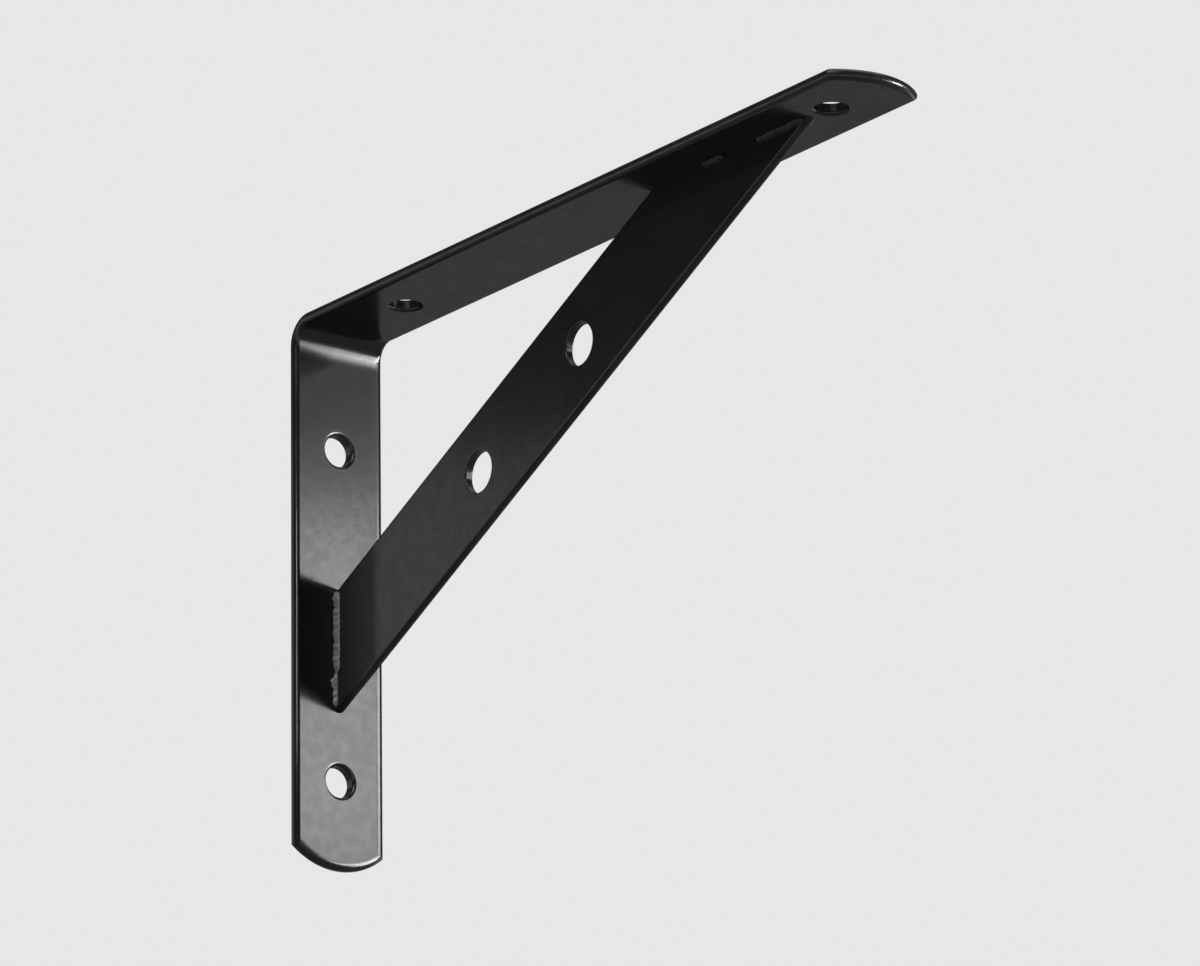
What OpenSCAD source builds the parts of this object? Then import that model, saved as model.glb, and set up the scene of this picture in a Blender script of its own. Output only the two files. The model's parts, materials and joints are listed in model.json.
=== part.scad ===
// Welded steel shelf bracket. A flat bar is bent to a right angle: the drop arm goes on the wall and the
// shelf arm carries the board. A second flat bar, set on edge, braces the two arms and is welded to both.
// Sizes are in millimetres. X runs across the bar, +Y goes into the wall and +Z is up. The origin is on the
// wall, midway between the two wall screw holes.

/* [Angle strip] */
// Width of the flat bar
strip_w = 30; // [24:1:45]
// Thickness of the flat bar
strip_t = 3.2; // [2.5:0.1:5]
// Reach of the shelf arm, from the wall to its tip
arm_len = 251.5; // [230:0.5:400]
// Height of the drop arm, from the shelf down to its tip
drop_len = 159; // [145:1:260]
// Radius inside the bend
bend_r = 5; // [2:0.5:10]
// How far each rounded end stands out past its own corners
end_rise = 5.5; // [3:0.5:9]
// Rounding along the edges of the bar
edge_r = 1.5; // [0.2:0.1:1.5]

/* [Screw holes] */
// Bore of the four screw holes
screw_d = 9; // [5:0.5:12]
// Radius of the rolled rim on the side where each hole was punched
rim_r = 1; // [0.3:0.1:1.5]
// From the shelf down to the upper wall hole
wall_hole_drop = 37; // [30:1:50]
// From the tip of the drop arm up to the lower wall hole
wall_hole_end = 25.5; // [18:0.5:33]
// From the wall to the rear shelf hole
shelf_hole_reach = 35.5; // [28:0.5:90]
// From the tip of the shelf arm back to the front shelf hole
shelf_hole_end = 23; // [16:0.5:24]

/* [Diagonal brace] */
// Width of the brace, seen from the side
brace_w = 32; // [22:1:40]
// Thickness of the brace
brace_t = 2.5; // [2:0.1:5]
// From the tip of the shelf arm back to the front corner of the brace
brace_tip_gap = 30.5; // [29.5:0.5:60]
// From the tip of the drop arm up to the lower corner of the brace
brace_foot_gap = 45; // [37:1:60]
// Rounding along the edges of the brace
brace_edge_r = 1.1; // [0.2:0.1:1.2]
// Rounding of the lower corner of the brace
foot_corner_r = 0.8; // [0.4:0.1:4]
// Bore of the two holes in the brace
brace_hole_d = 12; // [6:0.5:16]
// Radius of the rim of each hole in the brace
brace_rim_r = 0.4; // [0.2:0.1:0.8]
// Distance between the two holes in the brace
brace_hole_pitch = 52.5; // [30:0.5:90]

/* [Welds] */
// Leg of every weld bead
weld_leg = 2; // [1:0.1:3]
// Clear length of the joint left open at each end of a foot weld
foot_weld_margin = 0.5; // [0.5:0.5:6]
// Length of the bead at the front of the brace
arm_weld_len = 20; // [10:1:30]
// Length of the tack behind it
tack_len = 9; // [6:1:14]
// From the rear corner of the brace forward to the middle of the tack
tack_reach = 29; // [12:1:36]

/* [Hidden] */
$fn = 72;

// Black enamel, and the weld beads under it
enamel = [0.07, 0.07, 0.075];
bead_enamel = [0.12, 0.12, 0.12];

// Overrun of every cutting tool past the face that it leaves
overrun = 5;

// Rounding of the two bars, which leaves at least this flat between the edges
least_flat = 0.1;
strip_edge_r = min(edge_r, (strip_t - least_flat) / 2);
brace_side_r = min(brace_edge_r, (brace_t - least_flat) / 2);

// Outside of the bend, where the two straight arms begin
bend_size = bend_r + strip_t;

// Radius of the arc that rounds each end of the bar
end_r = (pow(strip_w / 2, 2) + pow(end_rise, 2)) / (2 * end_rise);

// Wall holes and shelf holes, as distances from the corner of wall and shelf
wall_holes = [wall_hole_drop, drop_len - wall_hole_end];
shelf_holes = [shelf_hole_reach, arm_len - shelf_hole_end];

// Height of the shelf above the origin
shelf_z = (wall_holes[0] + wall_holes[1]) / 2;

// Lower edge of the brace: how far down the drop arm and how far along the shelf arm it ends
brace_low = drop_len - brace_foot_gap;
brace_front = arm_len - brace_tip_gap;
brace_angle = atan2(brace_low - strip_t, brace_front - strip_t);

// Upper edge of the brace, parallel to the lower one
brace_high = brace_low - brace_w / cos(brace_angle);
brace_rear = brace_front - brace_w / sin(brace_angle);

// How far up the drop arm the rounding of the lower corner of the brace begins
foot_corner_half = (90 - brace_angle) / 2;
foot_corner_along = foot_corner_r / tan(foot_corner_half);

// Middle of the brace, where its centre line is halfway between the two arms
brace_mid_y = -(2 * strip_t + brace_front + brace_rear) / 4;
brace_mid_z = -(2 * strip_t + brace_low + brace_high) / 4;

// Back from the front corner of the brace by this much, the round end of a bead touches its lower edge
weld_setback = weld_leg / sin(brace_angle) - weld_leg;

// Cross-section of a flat bar with rounded edges, centred
module bar_section(w, t, r) {
    square([w - 2 * r, t], center = true);
    square([w, t - 2 * r], center = true);
    for (x = [-1, 1], y = [-1, 1])
        translate([x * (w / 2 - r), y * (t / 2 - r)])
            circle(r);
}

// Half of a round plate's section, with a rounded rim, from its axis outwards
module plate_half_section(radius, t, r) {
    translate([0, -t / 2])
        square([radius - r, t]);
    translate([0, r - t / 2])
        square([radius, t - 2 * r]);
    for (y = [-1, 1])
        translate([radius - r, y * (t / 2 - r)])
            circle(r);
}

// Straight arm of the strip along +Z, with its rounded end at the top
module straight_arm(len) {
    linear_extrude(len - end_r)
        bar_section(strip_w, strip_t, strip_edge_r);
    intersection() {
        translate([0, 0, len - end_r])
            linear_extrude(end_r + overrun)
                bar_section(strip_w, strip_t, strip_edge_r);
        translate([0, 0, len - end_r])
            rotate([90, 0, 0])
                rotate_extrude()
                    plate_half_section(end_r, strip_t, strip_edge_r);
    }
}

// Quarter bend between the two arms, about the X axis, from +Y round to +Z
module bend() {
    rotate([0, 90, 0])
        rotate([0, 0, 90])
            rotate_extrude(angle = 90)
                translate([bend_r + strip_t / 2, 0])
                    rotate(90)
                        bar_section(strip_w, strip_t, strip_edge_r);
}

// Tool that punches a round hole down -Z from the face at Z = 0, rolling the rim over at that face
module punch(d, depth, rim) {
    translate([0, 0, -depth - overrun])
        cylinder(d = d, h = depth + 2 * overrun);
    rotate_extrude()
        difference() {
            translate([0, -rim])
                square([d / 2 + rim, rim + overrun]);
            translate([d / 2 + rim, -rim])
                circle(rim);
        }
}

// Places its children in the frame of the part: there the corner of wall and shelf lies above the origin
module at_corner() {
    translate([0, 0, shelf_z])
        children();
}

module angle_strip() {
    color(enamel)
        at_corner()
            difference() {
                union() {
                    translate([0, -strip_t / 2, -bend_size])
                        rotate([180, 0, 0])
                            straight_arm(drop_len - bend_size);
                    translate([0, -bend_size, -strip_t / 2])
                        rotate([90, 0, 0])
                            straight_arm(arm_len - bend_size);
                    translate([0, -bend_size, -bend_size])
                        bend();
                }
                for (down = wall_holes)
                    translate([0, -strip_t, -down])
                        rotate([90, 0, 0])
                            punch(screw_d, strip_t, rim_r);
                for (out = shelf_holes)
                    translate([0, -out, -strip_t])
                        rotate([180, 0, 0])
                            punch(screw_d, strip_t, rim_r);
            }
}

// Tool that rounds the lower corner of the brace: all that lies past the circle that touches both its sides
module foot_corner_tool() {
    edge = [cos(brace_angle), sin(brace_angle)];
    away = [sin(brace_angle), -cos(brace_angle)];
    translate([0, -strip_t, -brace_low])
        rotate([90, 0, -90])
            linear_extrude(brace_t + 2 * overrun, center = true)
                difference() {
                    polygon([
                        [foot_corner_r, foot_corner_along],
                        [-overrun, foot_corner_along],
                        [-overrun, -2 * overrun],
                        foot_corner_along * edge + 2 * overrun * away
                    ]);
                    translate([foot_corner_r, foot_corner_along])
                        circle(foot_corner_r);
                }
}

module diagonal_brace() {
    long = brace_front + brace_low;
    color(enamel)
        at_corner()
            difference() {
                translate([0, brace_mid_y, brace_mid_z])
                    rotate([90 - brace_angle, 0, 0])
                        linear_extrude(long, center = true)
                            rotate(90)
                                bar_section(brace_w, brace_t, brace_side_r);
                translate([-brace_t, -strip_t, -long])
                    cube([2 * brace_t, long, 2 * long]);
                translate([-brace_t, -2 * long, -strip_t])
                    cube([2 * brace_t, 3 * long, long]);
                foot_corner_tool();
                translate([0, brace_mid_y, brace_mid_z])
                    rotate([90 - brace_angle, 0, 0])
                        for (side = [-1, 1], end = [-1, 1])
                            translate([side * brace_t / 2, 0, end * brace_hole_pitch / 2])
                                rotate([0, side * 90, 0])
                                    punch(brace_hole_d, brace_t, brace_rim_r);
            }
}

// Weld bead along +Z in the corner where X < 0 and Y < 0: a round-ended rod, cut to that quarter
module bead(len) {
    intersection() {
        union() {
            translate([0, 0, weld_leg])
                cylinder(r = weld_leg, h = len - 2 * weld_leg);
            for (z = [weld_leg, len - weld_leg])
                translate([0, 0, z])
                    sphere(weld_leg);
        }
        translate([-2 * weld_leg, -2 * weld_leg, -overrun])
            cube([2 * weld_leg, 2 * weld_leg, len + 2 * overrun]);
    }
}

// Bead on one side of the brace, up its joint with the drop arm
module foot_weld(side) {
    low = -brace_low + foot_weld_margin + max(foot_corner_along, weld_leg * tan(brace_angle));
    high = -brace_high - foot_weld_margin;
    color(bead_enamel)
        at_corner()
            mirror([side > 0 ? 1 : 0, 0, 0])
                translate([-brace_t / 2, -strip_t, low])
                    bead(high - low);
}

// Bead on one side of the brace, along its joint with the shelf arm, from out to out + len
module arm_bead(side, out, len) {
    color(bead_enamel)
        at_corner()
            mirror([side > 0 ? 1 : 0, 0, 0])
                translate([-brace_t / 2, -out, -strip_t])
                    rotate([90, 0, 0])
                        bead(len);
}

module arm_weld(side) {
    arm_bead(side, brace_front - weld_setback - arm_weld_len, arm_weld_len);
}

module arm_tack(side) {
    arm_bead(side, brace_rear + tack_reach - tack_len / 2, tack_len);
}

module foot_weld_left() { foot_weld(-1); }
module foot_weld_right() { foot_weld(1); }
module arm_weld_left() { arm_weld(-1); }
module arm_weld_right() { arm_weld(1); }
module arm_tack_left() { arm_tack(-1); }
module arm_tack_right() { arm_tack(1); }

angle_strip();
diagonal_brace();
foot_weld_left();
foot_weld_right();
arm_weld_left();
arm_weld_right();
arm_tack_left();
arm_tack_right();
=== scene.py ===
"""Looks of a welded steel shelf bracket: black enamel, uneven weld beads and a plain studio.

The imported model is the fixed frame, in metres, with +Z up and the back of the drop arm at Y = 0. The bent
strip and the diagonal brace keep their own meshes and get their enamel here. Each weld bead is replaced by a
rippled surface that lies in the same corner of the joint.
"""

import json
import logging
import math
from dataclasses import dataclass
from enum import Enum
from typing import Any, Callable, Dict, List, Mapping, Tuple, Union

import bpy
import numpy as np
from mathutils import Matrix, Vector


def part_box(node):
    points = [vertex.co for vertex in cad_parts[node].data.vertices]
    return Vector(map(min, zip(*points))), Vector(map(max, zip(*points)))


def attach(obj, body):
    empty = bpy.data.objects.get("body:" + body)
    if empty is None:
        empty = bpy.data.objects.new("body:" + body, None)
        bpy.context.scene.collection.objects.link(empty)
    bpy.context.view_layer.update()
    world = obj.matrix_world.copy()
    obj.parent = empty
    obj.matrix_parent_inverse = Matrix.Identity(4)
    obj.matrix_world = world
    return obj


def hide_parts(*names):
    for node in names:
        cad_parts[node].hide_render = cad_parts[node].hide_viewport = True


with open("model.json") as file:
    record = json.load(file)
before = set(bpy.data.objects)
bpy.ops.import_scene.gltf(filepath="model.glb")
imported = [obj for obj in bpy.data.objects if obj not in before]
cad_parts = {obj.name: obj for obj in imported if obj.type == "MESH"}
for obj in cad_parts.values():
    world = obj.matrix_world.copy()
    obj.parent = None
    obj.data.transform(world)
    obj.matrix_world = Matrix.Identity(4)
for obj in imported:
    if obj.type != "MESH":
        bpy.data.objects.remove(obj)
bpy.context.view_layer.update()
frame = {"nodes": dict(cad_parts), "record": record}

LOG = logging.getLogger("bracket")
MILLIMETRE = 0.001
BRACE_NODE = "diagonal_brace"

# Middle of the range of a noise texture
NOISE_MEAN = 0.5

# Attribute of a bead's mesh that holds the height of its ripples
RIPPLE = "ripple"

Colour = Tuple[float, float, float]
Place = Tuple[float, float, float]
Faces = List[List[int]]
Number = Union["Value", float]
EdgeWriter = Callable[["ShaderSheet"], "Value"]
NormalWriter = Callable[["ShaderSheet"], bpy.types.NodeSocket]


class Value:
    """A socket that carries a number. Its operators write Math nodes."""

    def __init__(self, sheet: "ShaderSheet", socket: bpy.types.NodeSocket) -> None:
        """Keep the sheet and the socket on it."""
        self.sheet = sheet
        self.socket = socket

    def __add__(self, other: Number) -> "Value":
        """Sum."""
        return self.sheet.math("ADD", self, other)

    def __radd__(self, other: Number) -> "Value":
        """Sum with a number on the left."""
        return self.sheet.math("ADD", other, self)

    def __sub__(self, other: Number) -> "Value":
        """Difference."""
        return self.sheet.math("SUBTRACT", self, other)

    def __rsub__(self, other: Number) -> "Value":
        """Difference with a number on the left."""
        return self.sheet.math("SUBTRACT", other, self)

    def __mul__(self, other: Number) -> "Value":
        """Product."""
        return self.sheet.math("MULTIPLY", self, other)

    def __rmul__(self, other: Number) -> "Value":
        """Product with a number on the left."""
        return self.sheet.math("MULTIPLY", other, self)

    def __abs__(self) -> "Value":
        """Size without sign."""
        return self.sheet.math("ABSOLUTE", self)

    def reach(self, other: "Value") -> "Value":
        """Distance from zero of the point that has these two values as its coordinates."""
        return self.sheet.math("SQRT", self * self + other * other)

    def most(self, other: Number) -> "Value":
        """The larger of two values."""
        return self.sheet.math("MAXIMUM", self, other)

    def rise(self, low: float, high: float) -> "Value":
        """Smooth step from 0 at low to 1 at high."""
        return self.sheet.step(self, low, high, 0.0, 1.0)

    def fall(self, low: float, high: float) -> "Value":
        """Smooth step from 1 at low to 0 at high."""
        return self.sheet.step(self, low, high, 1.0, 0.0)


class ShaderSheet:
    """The node tree of one material or of the world, and the one way to put nodes on it."""

    def __init__(self, owner: Union[bpy.types.Material, bpy.types.World]) -> None:
        """Clear the owner's tree and keep it.

        Args:
            owner: Material or world that gets the nodes.
        """
        owner.use_nodes = True
        self.tree = owner.node_tree
        self.tree.nodes.clear()

    def node(self, kind: str, settings: Mapping[str, Any], sockets: Mapping[str, Any]) -> bpy.types.Node:
        """Add a node, set its settings first and then feed its sockets.

        Args:
            kind: Type of the node.
            settings: Properties of the node, by name.
            sockets: A number, colour, vector, Value or output socket for each input, by its identifier.

        Returns:
            The new node.
        """
        made = self.tree.nodes.new(kind)
        for key, setting in settings.items():
            setattr(made, key, setting)
        inputs = {socket.identifier: socket for socket in made.inputs}
        for key, feed in sockets.items():
            if isinstance(feed, Value):
                feed = feed.socket
            if isinstance(feed, bpy.types.NodeSocket):
                self.tree.links.new(feed, inputs[key])
            else:
                inputs[key].default_value = feed
        return made

    def math(self, operation: str, *terms: Number) -> Value:
        """Add a Math node.

        Args:
            operation: What the node works out.
            terms: One, two or three values or numbers.

        Returns:
            The result.
        """
        keys = ("Value", "Value_001", "Value_002")
        made = self.node("ShaderNodeMath", {"operation": operation}, dict(zip(keys, terms)))
        return Value(self, made.outputs["Value"])

    def step(self, value: Value, low: float, high: float, before: float, after: float) -> Value:
        """Smooth step of a value.

        Args:
            value: What the step follows.
            low: Where the step begins.
            high: Where the step ends.
            before: Result up to low.
            after: Result from high on.

        Returns:
            The stepped value.
        """
        feeds = {"Value": value, "From Min": low, "From Max": high, "To Min": before, "To Max": after}
        made = self.node("ShaderNodeMapRange", {"interpolation_type": "SMOOTHSTEP"}, feeds)
        return Value(self, made.outputs["Result"])

    def place(self) -> bpy.types.NodeSocket:
        """Object coordinates, which are the frame's own, in metres."""
        return self.node("ShaderNodeTexCoord", {}, {}).outputs["Object"]

    def axes(self) -> Tuple[Value, Value, Value]:
        """The three Object coordinates as values.

        Returns:
            X across the bars, Y along the shelf arm and Z up.
        """
        split = self.node("ShaderNodeSeparateXYZ", {}, {"Vector": self.place()})
        across, along, up = (Value(self, split.outputs[axis]) for axis in "XYZ")
        return across, along, up

    def noise(self, size: float, detail: float) -> Value:
        """Cloudy noise between 0 and 1 with features of a given size in metres."""
        feeds = {"Vector": self.place(), "Scale": 1.0 / size, "Detail": detail}
        return Value(self, self.node("ShaderNodeTexNoise", {}, feeds).outputs["Fac"])

    def attribute(self, name: str) -> Value:
        """A number that the piece's own mesh carries."""
        return Value(self, self.node("ShaderNodeAttribute", {"attribute_name": name}, {}).outputs["Fac"])

    def blend(self, share: Value, first: Colour, second: Colour) -> bpy.types.NodeSocket:
        """Colour between two.

        Args:
            share: Share of the second colour, from 0 to 1.
            first: Colour at 0.
            second: Colour at 1.

        Returns:
            Output socket of the colour.
        """
        feeds = {"Factor_Float": share, "A_Color": (*first, 1.0), "B_Color": (*second, 1.0)}
        made = self.node("ShaderNodeMix", {"data_type": "RGBA"}, feeds)
        return next(socket for socket in made.outputs if socket.identifier == "Result_Color")

    def normal(self) -> bpy.types.NodeSocket:
        """The surface's own normal."""
        return self.node("ShaderNodeNewGeometry", {}, {}).outputs["Normal"]

    def leaned(self, across: Value, up: Value) -> bpy.types.NodeSocket:
        """The surface's own normal, leaned by a small vector.

        Args:
            across: Part of the lean along X.
            up: Part of the lean along Z.

        Returns:
            Output socket of the leaned unit normal.
        """
        lean = self.node("ShaderNodeCombineXYZ", {}, {"X": across, "Z": up}).outputs["Vector"]
        terms = {"Vector": self.normal(), "Vector_001": lean}
        total = self.node("ShaderNodeVectorMath", {"operation": "ADD"}, terms).outputs["Vector"]
        unit = self.node("ShaderNodeVectorMath", {"operation": "NORMALIZE"}, {"Vector": total})
        return unit.outputs["Vector"]

    def relief(self, height: Value, normal: bpy.types.NodeSocket) -> bpy.types.NodeSocket:
        """Normal of a surface raised by a height in metres."""
        feeds = {"Strength": 1.0, "Distance": 1.0, "Height": height, "Normal": normal}
        return self.node("ShaderNodeBump", {}, feeds).outputs["Normal"]

    def paint(
        self,
        colour: bpy.types.NodeSocket,
        roughness: Value,
        normal: bpy.types.NodeSocket,
        more: Mapping[str, Any],
    ) -> None:
        """Close the sheet with an enamel shader.

        Args:
            colour: Output socket of the base colour.
            roughness: Roughness over the surface.
            normal: Output socket of the normal.
            more: What the shader's other sockets take, by identifier.
        """
        feeds = {"Base Color": colour, "Roughness": roughness, "Normal": normal, **more}
        shader = self.node("ShaderNodeBsdfPrincipled", {}, feeds)
        self.node("ShaderNodeOutputMaterial", {}, {"Surface": shader.outputs["BSDF"]})


@dataclass(frozen=True)
class EnamelFinish:
    """Semi-gloss black enamel: deep colour, fine orange peel, and a thinner coat along edges and rims."""

    coat: Colour = (0.0050, 0.0050, 0.0054)
    thin_coat: Colour = (0.0200, 0.0200, 0.0205)
    index: float = 1.5
    roughness: float = 0.17
    cloud_size: float = 22.0 * MILLIMETRE
    cloud_detail: float = 3.0
    cloud_roughness: float = 0.09
    cloud_tone: float = 0.22
    peel_size: float = 1.6 * MILLIMETRE
    peel_detail: float = 2.0
    peel_depth: float = 0.010 * MILLIMETRE
    grain_size: float = 0.45 * MILLIMETRE
    grain_detail: float = 1.0
    grain_depth: float = 0.0010 * MILLIMETRE
    grain_roughness: float = 0.05
    film_size: float = 3.5 * MILLIMETRE
    film_detail: float = 4.0
    film_from: float = 0.35
    film_to: float = 0.65
    film_weight: float = 0.15
    film_roughness: float = 0.12
    worn_from: float = 0.30
    worn_to: float = 0.70
    edge_tone: float = 0.65
    edge_roughness: float = 0.08

    def material(self, name: str, edge: EdgeWriter, facing: NormalWriter) -> bpy.types.Material:
        """Enamel for one piece.

        Args:
            name: Name of the material.
            edge: Writes the mask that is 1 on the edges and rims of that piece.
            facing: Writes the normal that the orange peel is laid on.

        Returns:
            The material.
        """
        made = bpy.data.materials.new(name)
        sheet = ShaderSheet(made)
        cloud = sheet.noise(self.cloud_size, self.cloud_detail)
        peel = sheet.noise(self.peel_size, self.peel_detail)
        grain = sheet.noise(self.grain_size, self.grain_detail)
        patches = sheet.noise(self.film_size, self.film_detail).rise(self.film_from, self.film_to)
        film = patches * self.film_weight
        worn = edge(sheet) * cloud.rise(self.worn_from, self.worn_to)
        colour = sheet.blend(cloud * self.cloud_tone + worn * self.edge_tone, self.coat, self.thin_coat)
        clouded = (cloud - NOISE_MEAN) * self.cloud_roughness
        grained = (grain - NOISE_MEAN) * self.grain_roughness
        sheet.paint(
            colour,
            clouded + grained + worn * self.edge_roughness + self.roughness,
            sheet.relief(peel * self.peel_depth + grain * self.grain_depth, facing(sheet)),
            {"IOR": self.index, "Coat Weight": film, "Coat Roughness": self.film_roughness},
        )
        return made


@dataclass(frozen=True)
class BeadFinish:
    """Weld bead under a thin coat: greyer and rougher than the flat bars; its grey is partly painted light,
    lightest on the ripple crests as painted highlight and darkest between them as painted shade.
    """

    # Painted shade in the ripple valleys and painted highlight on the crests, over the grey of thin-coated
    # weld metal
    valley_shade: Colour = (0.110, 0.110, 0.110)
    crest_highlight: Colour = (0.240, 0.240, 0.237)
    crest_share: float = 0.7
    index: float = 1.5
    roughness: float = 0.38
    grit_size: float = 0.6 * MILLIMETRE
    grit_detail: float = 3.0
    grit_depth: float = 0.014 * MILLIMETRE
    grit_roughness: float = 0.16

    def material(self, name: str) -> bpy.types.Material:
        """Coated weld metal with painted light, which reads the ripple height that the bead's mesh carries.

        Args:
            name: Name of the material.

        Returns:
            The material.
        """
        made = bpy.data.materials.new(name)
        sheet = ShaderSheet(made)
        grit = sheet.noise(self.grit_size, self.grit_detail)
        height = sheet.attribute(RIPPLE) * self.crest_share + grit * (1.0 - self.crest_share)
        # Painted highlight and shade: the colour follows the ripple height, light on crests and dark between
        # them
        colour = sheet.blend(height, self.valley_shade, self.crest_highlight)
        rough = (grit - NOISE_MEAN) * self.grit_roughness + self.roughness
        sheet.paint(colour, rough, sheet.relief(grit * self.grit_depth, sheet.normal()), {"IOR": self.index})
        return made


class Hand(Enum):
    """Side of the brace that a bead is on, as the sign of X."""

    LEFT = -1.0
    RIGHT = 1.0


class Seam(Enum):
    """Joint that a bead closes: up the drop arm, or along the shelf arm."""

    FOOT = "foot"
    ARM = "arm"


def mount(name: str) -> Mapping[str, Any]:
    """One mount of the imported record, by name."""
    return next(entry for entry in frame["record"]["mounts"] if entry["name"] == name)


@dataclass
class AngleStrip:
    """The flat bar that is bent to a right angle, with its rounded ends and four screw holes.

    A lean is how far the drop arm's front face leans, as a share of its unit normal. end_full and end_begin
    bound the mask of a rounded end, as shares of the arc's radius from its centre. front_begin is the share
    of the bar's thickness at which the mask of the front face begins.
    """

    node: str = "angle_strip"
    end_rise: float = 5.5 * MILLIMETRE
    end_full: float = 0.75
    end_begin: float = 0.65
    front_begin: float = 0.88
    edge_radius: float = 1.5 * MILLIMETRE
    edge_reach: float = 1.3 * MILLIMETRE
    rim_reach: float = 2.2 * MILLIMETRE
    bend_radius: float = 5.0 * MILLIMETRE
    runout_lean: float = 0.170
    runout_below: float = 4.0 * MILLIMETRE
    runout_above: float = 1.6 * MILLIMETRE
    roll_lean: float = 0.110
    roll_reach: float = 1.0 * MILLIMETRE
    side_lean: float = 0.130
    side_reach: float = 1.6 * MILLIMETRE

    def __post_init__(self) -> None:
        """Read the bar's reach, thickness and holes from the frame."""
        low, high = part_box(self.node)
        self.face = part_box(BRACE_NODE)[1].y
        self.bend_start = high.z + self.face - self.bend_radius
        self.half_width = high.x
        self.tip = low.y
        self.foot = low.z
        self.end_radius = (self.half_width**2 + self.end_rise**2) / (2.0 * self.end_rise)
        wall, shelf = mount("wall_screws"), mount("shelf_screws")
        wall_half = wall["dims"]["spacing_y_mm"] * MILLIMETRE / 2.0
        shelf_half = shelf["dims"]["spacing_y_mm"] * MILLIMETRE / 2.0
        self.hole_radius = wall["dims"]["hole_r_mm"] * MILLIMETRE
        self.wall_holes = [wall["pos_m"][2] + side * wall_half for side in (-1.0, 1.0)]
        self.shelf_holes = [shelf["pos_m"][1] + side * shelf_half for side in (-1.0, 1.0)]

    def past_corners(self, out: Value) -> Value:
        """Mask of a rounded end, by how far a point lies from the centre of its arc along the arm."""
        return out.fall(-self.end_radius * self.end_full, -self.end_radius * self.end_begin)

    def edge(self, sheet: ShaderSheet) -> Value:
        """Mask of the bar's long edges, rounded ends and hole rims.

        The long edges are where |x| comes near half the width. A rounded end is where the distance from its
        arc's centre comes near the arc's radius. A rim is where the distance from a hole's axis is little
        more than the hole's radius.

        Args:
            sheet: Node tree that gets the nodes.

        Returns:
            The mask, from 0 to 1.
        """
        across, along, up = sheet.axes()
        mask = abs(across).rise(self.half_width - self.edge_reach, self.half_width)
        for run, end in ((up, self.foot), (along, self.tip)):
            out = run - (end + self.end_radius)
            arc = across.reach(out).rise(self.end_radius - self.edge_reach, self.end_radius)
            mask = mask.most(arc * self.past_corners(out))
        rims = [(up, hole) for hole in self.wall_holes] + [(along, hole) for hole in self.shelf_holes]
        for run, hole in rims:
            ring = across.reach(run - hole)
            mask = mask.most(ring.fall(self.hole_radius, self.hole_radius + self.rim_reach))
        return mask

    def facing(self, sheet: ShaderSheet) -> bpy.types.NodeSocket:
        """Normal of the bar, with the soft rolls of the drop arm's front face.

        Towards the bend the face leans down before the arc begins, by a smooth step up in height times one
        down. Towards the rounded end it leans out from the arc's centre, by a smooth step up to the rounded
        edge and one down across it, times the offset from that centre over the arc's radius. Towards the
        right edge it leans to the right in the same way, times x over half the width.

        Args:
            sheet: Node tree that gets the nodes.

        Returns:
            Output socket of the normal.
        """
        across, along, up = sheet.axes()
        front = along.fall(self.face, self.face * self.front_begin)
        below_bend = up.fall(self.bend_start, self.bend_start + self.runout_above)
        bend = up.rise(self.bend_start - self.runout_below, self.bend_start + self.runout_above) * below_bend
        out = up - (self.foot + self.end_radius)
        ring = across.reach(out)
        flat = self.end_radius - self.edge_radius
        roll = ring.rise(flat - self.roll_reach, flat) * ring.fall(flat, self.end_radius)
        outwards = roll * self.past_corners(out) * front * (self.roll_lean / self.end_radius)
        flat = self.half_width - self.edge_radius
        roll = across.rise(flat - self.side_reach, flat) * across.fall(flat, self.half_width)
        sideways = roll * below_bend * front * (self.side_lean / self.half_width)
        return sheet.leaned(across * (outwards + sideways), out * outwards - bend * front * self.runout_lean)

    def dress(self, finish: EnamelFinish) -> bpy.types.Object:
        """Give the bar its enamel.

        Args:
            finish: Enamel to use.

        Returns:
            The bar.
        """
        bar = frame["nodes"][self.node]
        bar.material_slots[0].material = finish.material("enamel_strip", self.edge, self.facing)
        return bar


@dataclass
class DiagonalBrace:
    """The flat bar on edge that braces the two arms, with its two holes."""

    node: str = BRACE_NODE
    edge_reach: float = 1.1 * MILLIMETRE
    rim_reach: float = 1.4 * MILLIMETRE

    def __post_init__(self) -> None:
        """Read the brace's centre line, width and holes from the frame."""
        low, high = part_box(self.node)
        self.holes = [Vector(mount(name)["pos_m"]) for name in ("brace_hole_rear", "brace_hole_front")]
        self.hole_radius = mount("brace_hole_front")["dims"]["r_mm"] * MILLIMETRE
        self.middle = (self.holes[0] + self.holes[1]) / 2.0
        line = (self.holes[1] - self.holes[0]).normalized()
        self.across = Vector((0.0, -line.z, line.y))
        front_corner = Vector((0.0, low.y, high.z))
        self.half_width = abs((front_corner - self.middle).dot(self.across))

    def edge(self, sheet: ShaderSheet) -> Value:
        """Mask of the brace's long edges, by distance from its centre line, and of its hole rims.

        Args:
            sheet: Node tree that gets the nodes.

        Returns:
            The mask, from 0 to 1.
        """
        _, along, up = sheet.axes()
        off_line = (along - self.middle.y) * self.across.y + (up - self.middle.z) * self.across.z
        mask = abs(off_line).rise(self.half_width - self.edge_reach, self.half_width)
        for hole in self.holes:
            ring = (along - hole.y).reach(up - hole.z)
            mask = mask.most(ring.fall(self.hole_radius, self.hole_radius + self.rim_reach))
        return mask

    def dress(self, finish: EnamelFinish) -> bpy.types.Object:
        """Give the brace its enamel.

        Args:
            finish: Enamel to use.

        Returns:
            The brace.
        """
        bar = frame["nodes"][self.node]
        bar.material_slots[0].material = finish.material("enamel_brace", self.edge, ShaderSheet.normal)
        return bar


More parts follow.
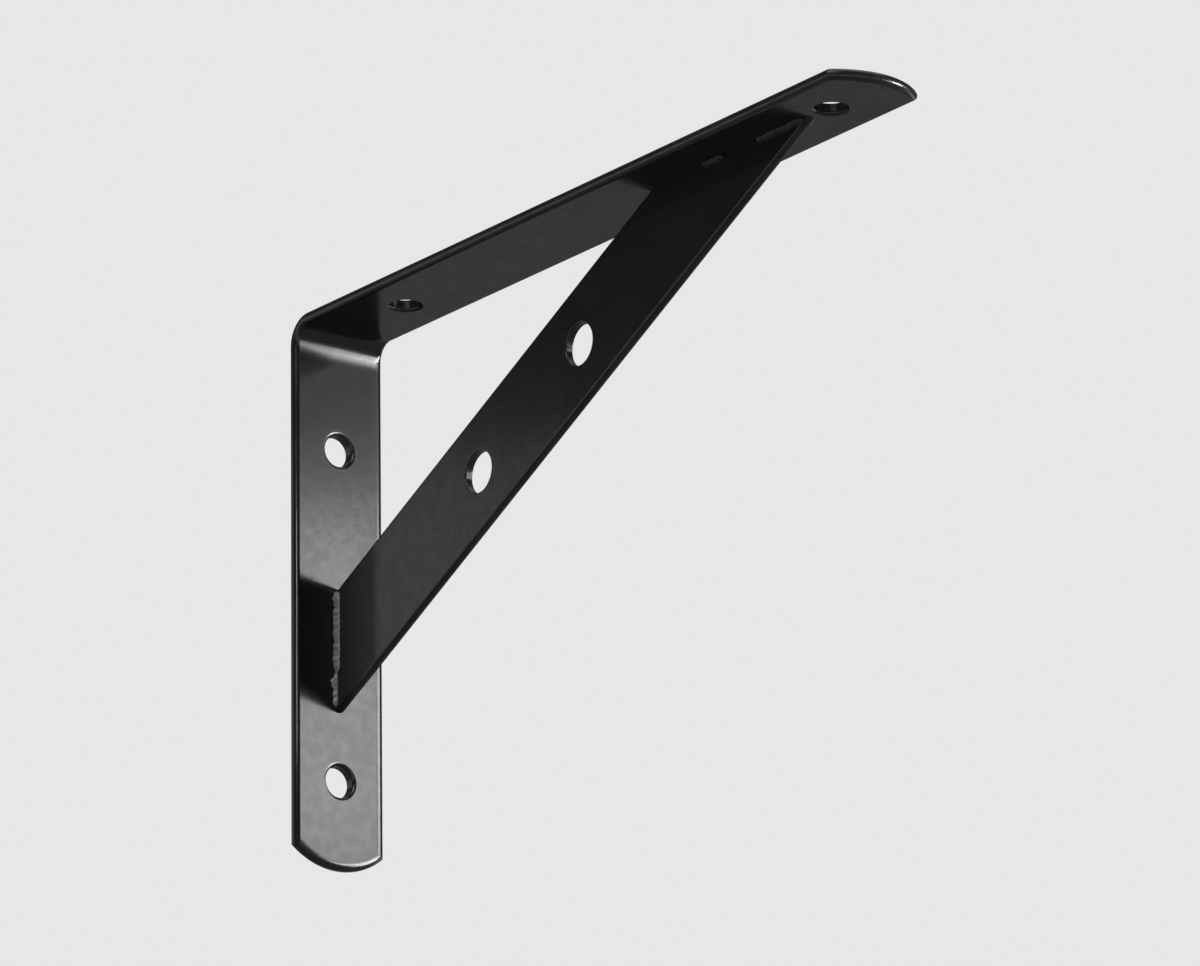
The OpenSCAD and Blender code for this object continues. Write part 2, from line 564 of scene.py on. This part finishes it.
@dataclass(frozen=True)
class CornerLine:
    """Line of the corner that a bead fills.

    It has a start and a whole run, a unit leg on the brace and one on the arm, and the size of a leg.
    """

    start: np.ndarray
    run: np.ndarray
    on_brace: np.ndarray
    on_arm: np.ndarray
    leg: float


@dataclass
class WeldBead:
    """One fillet bead in the corner between the brace and an arm, worked out as a rippled surface.

    A toe's share is its reach over the leg of the solid bead, and its start share is what that reach is
    multiplied by before the notch. notch_at is the notch's place as a share of the bead's length.
    """

    node: str
    seam: Seam
    hand: Hand
    seed: int
    notch_at: float = 0.0
    notch_depth: float = 0.0
    notch_width: float = 0.9 * MILLIMETRE
    ripple_pitch: float = 1.7 * MILLIMETRE
    ripple_depth: float = 0.06
    ripple_sag: float = 0.40
    ripple_drift: float = 0.3
    ripple_power: float = 0.8
    section_power: float = 1.30
    brace_share: float = 0.58
    brace_wander: float = 0.08
    brace_start_share: float = 1.0
    arm_share: float = 0.76
    arm_wander: float = 0.20
    arm_start_share: float = 1.0
    shortest_wave: float = 2.0 * MILLIMETRE
    longest_wave: float = 9.0 * MILLIMETRE
    wave_count: int = 6
    end_reach: float = 1.6 * MILLIMETRE
    rings_per_ripple: int = 12
    section_steps: int = 18

    def corner(self) -> CornerLine:
        """Place of the bead's corner, from the box of the solid that it replaces.

        Returns:
            The corner line: upwards on the drop arm, and outwards on the shelf arm.
        """
        low, high = (np.array(corner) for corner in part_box(self.node))
        inner = low[0] if self.hand is Hand.RIGHT else high[0]
        if self.seam is Seam.FOOT:
            start, end, on_brace = (inner, high[1], low[2]), (inner, high[1], high[2]), (0.0, -1.0, 0.0)
        else:
            start, end, on_brace = (inner, high[1], high[2]), (inner, low[1], high[2]), (0.0, 0.0, -1.0)
        on_arm = (self.hand.value, 0.0, 0.0)
        run = np.array(end) - np.array(start)
        return CornerLine(np.array(start), run, np.array(on_brace), np.array(on_arm), high[0] - low[0])

    def wander(self, run: np.ndarray, draw: np.random.Generator) -> np.ndarray:
        """Slow uneven line: the mean of sines from the shortest wave to the longest, each at its own phase.

        Args:
            run: Places along the corner line.
            draw: Source of the phases.

        Returns:
            A number between -1 and 1 for each place.
        """
        waves = np.linspace(self.shortest_wave, self.longest_wave, self.wave_count)
        phases = draw.uniform(0.0, 2.0 * math.pi, waves.size)
        return np.sin(2.0 * math.pi * run[:, None] / waves + phases).mean(axis=1)

    def surface(self) -> Tuple[np.ndarray, np.ndarray]:
        """Points of the bead's section, carried along the corner line.

        With s along the line and t from 0 to a quarter turn, a point stands a(s) cos(t)^p out on the brace
        and b(s) sin(t)^p out on the arm. Both toes a and b wander, close round at the two ends and narrow at
        the notch. Before the notch each toe has its start share, and a ramp as wide as the notch leads from
        it. Each ripple pulls the whole section in by a share of 1 - |sin|^q, with its crescent trailing
        towards the toes. The last point of each section is on the corner line and closes it.

        Returns:
            Points as rings, and the ripple height of each point from 0 to 1.
        """
        corner = self.corner()
        length = float(np.linalg.norm(corner.run))
        draw = np.random.default_rng(self.seed)
        ring_count = int(length / self.ripple_pitch * self.rings_per_ripple)
        run = (np.arange(ring_count) + 1.0) / (ring_count + 1.0) * length
        turn = np.linspace(0.0, math.pi / 2.0, self.section_steps)
        from_end = np.clip(np.minimum(run, length - run) / self.end_reach, 0.0, 1.0)
        closing = np.sqrt(1.0 - (1.0 - from_end) ** 2)
        off_notch = run - self.notch_at * length
        notch = 1.0 - self.notch_depth * np.exp(-((off_notch / self.notch_width) ** 2))
        past_notch = np.clip((off_notch + self.notch_width / 2.0) / self.notch_width, 0.0, 1.0)
        brace_start = self.brace_start_share + (1.0 - self.brace_start_share) * past_notch
        arm_start = self.arm_start_share + (1.0 - self.arm_start_share) * past_notch
        size = corner.leg * closing * notch
        brace_toe = size * brace_start * (self.brace_share + self.brace_wander * self.wander(run, draw))
        arm_toe = size * arm_start * (self.arm_share + self.arm_wander * self.wander(run, draw))
        drift = self.ripple_drift * self.wander(run, draw)
        crescent = self.ripple_sag * np.sin(2.0 * turn)
        phase = run[:, None] / self.ripple_pitch + drift[:, None] + crescent
        ripple = np.abs(np.sin(math.pi * phase)) ** self.ripple_power
        pull = 1.0 - self.ripple_depth * (1.0 - ripple)
        out_brace = brace_toe[:, None] * np.cos(turn) ** self.section_power * pull
        out_arm = arm_toe[:, None] * np.sin(turn) ** self.section_power * pull
        spine = corner.start + run[:, None] / length * corner.run
        outer = spine[:, None] + out_brace[..., None] * corner.on_brace + out_arm[..., None] * corner.on_arm
        rings = np.concatenate((outer, spine[:, None]), axis=1)
        heights = np.concatenate((ripple, np.zeros((ring_count, 1))), axis=1)
        return rings, heights

    def build(self) -> bpy.types.Object:
        """Make the bead's closed mesh, with a pole at each end of the corner line.

        Returns:
            The bead, riding on the part and standing for its node.
        """
        rings, heights = self.surface()
        corner = self.corner()
        inward = float(np.dot(np.cross(corner.on_brace, corner.on_arm), corner.run)) > 0.0
        poles = np.stack((corner.start, corner.start + corner.run))
        faces = closed_tube_faces(rings.shape[0], rings.shape[1], inward)
        bead = mesh_object(f"bead_{self.node}", np.concatenate((rings.reshape(-1, 3), poles)), faces)
        ripple = bead.data.attributes.new(RIPPLE, "FLOAT", "POINT")
        ripple.data.foreach_set("value", np.append(heights, np.zeros(len(poles))).astype(np.float32))
        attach(bead, "root")
        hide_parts(self.node)
        return bead

    def dress(self, bead: bpy.types.Object, coat: bpy.types.Material) -> None:
        """Give the bead its coat, which holds its joint's painted light and shade."""
        bead.data.materials.append(coat)


def closed_tube_faces(rings: int, sides: int, flip: bool) -> Faces:
    """Faces of a tube of closed rings with a pole at each end.

    Args:
        rings: Number of rings.
        sides: Points in each ring.
        flip: Turn every face round.

    Returns:
        Corner numbers of each face. The points are the rings in order, then the first pole and the last one.
    """
    here = np.arange(rings * sides).reshape(rings, sides)
    beside = np.roll(here, -1, axis=1)
    quads = np.stack((here[:-1], here[1:], beside[1:], beside[:-1]), axis=-1).reshape(-1, 4)
    first, last = rings * sides, rings * sides + 1
    first_fan = np.stack((np.full(sides, first), here[0], beside[0]), axis=-1)
    last_fan = np.stack((np.full(sides, last), beside[-1], here[-1]), axis=-1)
    order = -1 if flip else 1
    return [face for group in (quads, first_fan, last_fan) for face in group[:, ::order].tolist()]


def mesh_object(name: str, points: np.ndarray, faces: Faces) -> bpy.types.Object:
    """Smooth mesh object at the origin, linked to the scene.

    Args:
        name: Name of the object and its mesh.
        points: Place of each point.
        faces: Corner numbers of each face.

    Returns:
        The object.
    """
    mesh = bpy.data.meshes.new(name)
    mesh.from_pydata(points.tolist(), [], faces)
    mesh.polygons.foreach_set("use_smooth", np.ones(len(mesh.polygons), dtype=bool))
    mesh.update()
    made = bpy.data.objects.new(name, mesh)
    bpy.context.scene.collection.objects.link(made)
    return made


def direction(azimuth: float, elevation: float) -> Vector:
    """Unit vector towards an azimuth and elevation in degrees. Azimuth 0 is -Y, and 90 is +X."""
    turn, lift = math.radians(azimuth), math.radians(elevation)
    return Vector((math.sin(turn) * math.cos(lift), -math.cos(turn) * math.cos(lift), math.sin(lift)))


@dataclass(frozen=True)
class SoftBox:
    """A rectangular studio lamp that is not seen by the camera, with a grid that narrows its beam.

    It stands at a distance from its target, towards an azimuth and elevation, and faces the target. The
    angles are in degrees and the lengths in metres.
    """

    name: str
    target: Place
    azimuth: float
    elevation: float
    distance: float
    width: float
    height: float
    radiance: float
    spread: float = 180.0

    def build(self) -> bpy.types.Object:
        """Set the lamp up facing its target, with the power that gives its radiance along its axis.

        The grid's light falls off with the tangent of the angle to the axis and ends at half the spread h,
        so that 1 - h / tan(h) of an open lamp's power gives the same radiance along the axis.

        Returns:
            The lamp.
        """
        half = math.radians(self.spread) / 2.0
        lamp = bpy.data.lights.new(self.name, "AREA")
        lamp.shape = "RECTANGLE"
        lamp.size = self.width
        lamp.size_y = self.height
        lamp.spread = 2.0 * half
        lamp.energy = self.radiance * math.pi * self.width * self.height * (1.0 - half / math.tan(half))
        made = bpy.data.objects.new(self.name, lamp)
        towards = direction(self.azimuth, self.elevation)
        made.location = Vector(self.target) + towards * self.distance
        made.rotation_euler = (-towards).to_track_quat("-Z", "Y").to_euler()
        made.visible_camera = False
        bpy.context.scene.collection.objects.link(made)
        return made


# Narrow lamps that shine in the drop arm's front face, its bend, its edges, the tip and the welded corner
GLOSS_LAMPS = (
    SoftBox(
        "window", target=(-0.038, -0.003, -0.051), azimuth=36.9, elevation=18.0, distance=0.60,
        width=0.096, height=0.140, radiance=9.2, spread=20.0,
    ),
    SoftBox(
        "window_head", target=(0.0, -0.003, 0.079), azimuth=36.9, elevation=18.0, distance=0.60,
        width=0.160, height=0.094, radiance=0.9, spread=20.0,
    ),
    SoftBox(
        "bend_strip", target=(0.060, 0.040, 0.077), azimuth=36.0, elevation=3.0, distance=0.57,
        width=0.200, height=0.280, radiance=36.0, spread=22.0,
    ),
    SoftBox(
        "bend_glint", target=(0.013, -0.003, 0.075), azimuth=48.0, elevation=-4.0, distance=0.57,
        width=0.080, height=0.100, radiance=70.0, spread=20.0,
    ),
    SoftBox(
        "foot_glint", target=(0.008, -0.003, -0.071), azimuth=50.0, elevation=0.0, distance=0.60,
        width=0.240, height=0.260, radiance=28.0, spread=30.0,
    ),
    SoftBox(
        "tip_glint", target=(0.003, -0.251, 0.083), azimuth=56.0, elevation=1.0, distance=0.40,
        width=0.125, height=0.110, radiance=60.0, spread=30.0,
    ),
    SoftBox(
        "edge_window", target=(0.014, -0.003, -0.048), azimuth=48.0, elevation=18.0, distance=0.60,
        width=0.160, height=0.146, radiance=15.0, spread=20.0,
    ),
    SoftBox(
        "edge_head", target=(0.014, -0.003, 0.079), azimuth=48.0, elevation=18.0, distance=0.60,
        width=0.160, height=0.094, radiance=1.2, spread=20.0,
    ),
    SoftBox(
        "joint_card", target=(-0.026, 0.0154, -0.0108), azimuth=-37.0, elevation=18.0, distance=0.12,
        width=0.058, height=0.070, radiance=9.0, spread=30.0,
    ),
)

# Broad open lamps that light the part from all round
ROOM_LAMPS = (
    SoftBox(
        "rear_card", target=(0.0, -0.10, 0.056), azimuth=-143.5, elevation=0.0, distance=0.572,
        width=0.60, height=0.312, radiance=0.50,
    ),
    SoftBox(
        "side_card", target=(0.0, -0.12, 0.0), azimuth=95.0, elevation=-14.0, distance=2.2,
        width=1.40, height=0.70, radiance=0.8,
    ),
    SoftBox(
        "front_fill", target=(0.0, -0.10, 0.0), azimuth=-50.0, elevation=40.0, distance=1.6,
        width=0.80, height=0.80, radiance=4.0,
    ),
    SoftBox(
        "overhead", target=(0.0, -0.12, 0.0), azimuth=0.0, elevation=90.0, distance=1.8,
        width=2.40, height=2.40, radiance=0.9,
    ),
)


@dataclass
class Studio:
    """Pale floor and surround, soft lamps, and the camera at the photograph's viewing angle."""

    lamps: Tuple[SoftBox, ...] = GLOSS_LAMPS + ROOM_LAMPS
    pale: float = 0.80
    room_light: float = 0.06
    room_gloss: float = 0.08
    floor_pale: float = 0.925
    floor_glow: float = 0.85
    floor_light: float = 0.19
    floor_gloss: float = 0.22
    near_begin: float = -5.0
    near_full: float = -9.0
    floor_height: float = -3.2
    floor_half: float = 100.0
    floor_lines: int = 5
    camera_azimuth: float = -36.851
    camera_elevation: float = -17.953
    camera_roll: float = -0.701
    camera_distance: float = 2.4885
    camera_aim: Place = (0.0, -0.125, 0.00625)
    frame_width_px: float = 1200.0
    focal_px: float = 9246.0

    def level(self, sheet: ShaderSheet, seen: float, gloss: Number, unseen: float) -> Value:
        """Brightness by kind of ray.

        Args:
            sheet: Node tree that gets the nodes.
            seen: Brightness where the camera sees it, also through glass.
            gloss: Brightness in reflections.
            unseen: Brightness that lights everything else.

        Returns:
            The brightness.
        """
        path = sheet.node("ShaderNodeLightPath", {}, {})
        camera, glass, mirror = (
            Value(sheet, path.outputs[f"Is {kind} Ray"]) for kind in ("Camera", "Transmission", "Glossy")
        )
        return camera.most(glass) * (seen - unseen) + mirror * (gloss - unseen) + unseen

    def surround(self) -> None:
        """World that is pale where it is seen, and a dimmer even light for what it falls on."""
        world = bpy.data.worlds.new("pale_surround")
        bpy.context.scene.world = world
        sheet = ShaderSheet(world)
        level = self.level(sheet, self.pale, self.room_gloss, self.room_light)
        glow = sheet.node("ShaderNodeBackground", {}, {"Color": (1.0, 1.0, 1.0, 1.0), "Strength": level})
        sheet.node("ShaderNodeOutputWorld", {}, {"Surface": glow.outputs["Background"]})

    def floor_coat(self) -> bpy.types.Material:
        """Matte pale floor with a glow, which is dimmer in reflections.

        Only far out on the camera's own side, where x + y is low, do reflections show its glow at the level
        at which the surround is seen.

        Returns:
            The material.
        """
        made = bpy.data.materials.new("pale_floor")
        sheet = ShaderSheet(made)
        matte = sheet.node("ShaderNodeBsdfDiffuse", {}, {"Color": (self.pale, self.pale, self.pale, 1.0)})
        across, along, _ = sheet.axes()
        near = (across + along).fall(self.near_full, self.near_begin)
        gloss = near * (self.pale - self.floor_gloss) + self.floor_gloss
        level = self.level(sheet, self.floor_pale, gloss, self.floor_light)
        glow = sheet.node("ShaderNodeEmission", {}, {"Color": level, "Strength": 1.0})
        shaders = {"Shader": matte.outputs["BSDF"], "Shader_001": glow.outputs["Emission"]}
        mixed = sheet.node("ShaderNodeMixShader", {}, {"Fac": self.floor_glow, **shaders})
        sheet.node("ShaderNodeOutputMaterial", {}, {"Surface": mixed.outputs["Shader"]})
        return made

    def floor(self) -> bpy.types.Object:
        """Flat floor well below the part: an even grid of points at one height.

        Returns:
            The floor.
        """
        grid = np.linspace(-self.floor_half, self.floor_half, self.floor_lines)
        across, along = np.meshgrid(grid, grid, indexing="ij")
        points = np.stack((across, along, np.full_like(across, self.floor_height)), axis=-1)
        here = np.arange(across.size).reshape(across.shape)
        faces = np.stack((here[:-1, :-1], here[1:, :-1], here[1:, 1:], here[:-1, 1:]), axis=-1)
        made = mesh_object("floor", points.reshape(-1, 3), faces.reshape(-1, 4).tolist())
        made.data.materials.append(self.floor_coat())
        return made

    def camera(self) -> bpy.types.Object:
        """Long-lens camera, aimed at the middle of the part from the photograph's side and height.

        Returns:
            The camera.
        """
        lens = bpy.data.cameras.new("photo_camera")
        lens.lens = self.focal_px / self.frame_width_px * lens.sensor_width
        made = bpy.data.objects.new("photo_camera", lens)
        away = direction(self.camera_azimuth, self.camera_elevation)
        place = Matrix.Translation(Vector(self.camera_aim) + away * self.camera_distance)
        level = (-away).to_track_quat("-Z", "Y").to_matrix().to_4x4()
        roll = Matrix.Rotation(math.radians(self.camera_roll), 4, "Z")
        made.matrix_world = place @ level @ roll
        bpy.context.scene.collection.objects.link(made)
        bpy.context.scene.camera = made
        return made

    def build(self) -> None:
        """Make the surround, floor, lamps and camera, and take colours as they are written."""
        bpy.context.scene.view_settings.view_transform = "Standard"
        self.surround()
        pieces = [self.floor(), *(lamp.build() for lamp in self.lamps), self.camera()]
        for piece in pieces:
            LOG.info("set up %s", piece.name)


def weld_beads() -> Tuple[WeldBead, ...]:
    """The six beads: a foot weld, a front weld and a tack on each side of the brace.

    Returns:
        The beads, in the order in which they are built.
    """
    foot_toes = {"brace_share": 0.90, "brace_wander": 0.06, "arm_share": 0.48, "arm_wander": 0.28}
    left_notch = {"notch_at": 0.29, "notch_depth": 0.50, "brace_start_share": 0.48, "arm_start_share": 1.35}
    right_notch = {"notch_at": 0.62, "notch_depth": 0.35}
    return (
        WeldBead("foot_weld_left", Seam.FOOT, Hand.LEFT, seed=3, **foot_toes, **left_notch),
        WeldBead("foot_weld_right", Seam.FOOT, Hand.RIGHT, seed=5, **foot_toes, **right_notch),
        WeldBead("arm_weld_left", Seam.ARM, Hand.LEFT, seed=7),
        WeldBead("arm_weld_right", Seam.ARM, Hand.RIGHT, seed=11),
        WeldBead("arm_tack_left", Seam.ARM, Hand.LEFT, seed=13),
        WeldBead("arm_tack_right", Seam.ARM, Hand.RIGHT, seed=17),
    )


def bead_finishes() -> Dict[Seam, BeadFinish]:
    """The finish of the beads on each joint, as lit and shaded copies: the foot beads' light grey is partly
    painted light, and those on the shelf arm are painted nearly black as shade.

    Returns:
        The finish, by joint.
    """
    return {
        Seam.FOOT: BeadFinish(),
        # Painted shade: the same bead finish made nearly black for the beads on the shelf arm
        Seam.ARM: BeadFinish(valley_shade=(0.010, 0.010, 0.010), crest_highlight=(0.026, 0.026, 0.026)),
    }


def main() -> None:
    """Dress the bars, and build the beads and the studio."""
    logging.basicConfig(level=logging.INFO, format="%(name)s: %(message)s")
    enamel = EnamelFinish()
    for bar in (AngleStrip(), DiagonalBrace()):
        dressed = bar.dress(enamel)
        LOG.info("dressed %s", dressed.name)
    # Bead coats with painted light: partly painted light grey on the foot, painted shade on the shelf arm
    bead_coats_with_painted_light = {seam: finish.material(f"enamel_bead_{seam.value}") for seam, finish in bead_finishes().items()}
    for weld in weld_beads():
        bead = weld.build()
        weld.dress(bead, bead_coats_with_painted_light[weld.seam])
        LOG.info("built %s with %d faces", bead.name, len(bead.data.polygons))
    Studio().build()


if __name__ == "__main__":
    main()
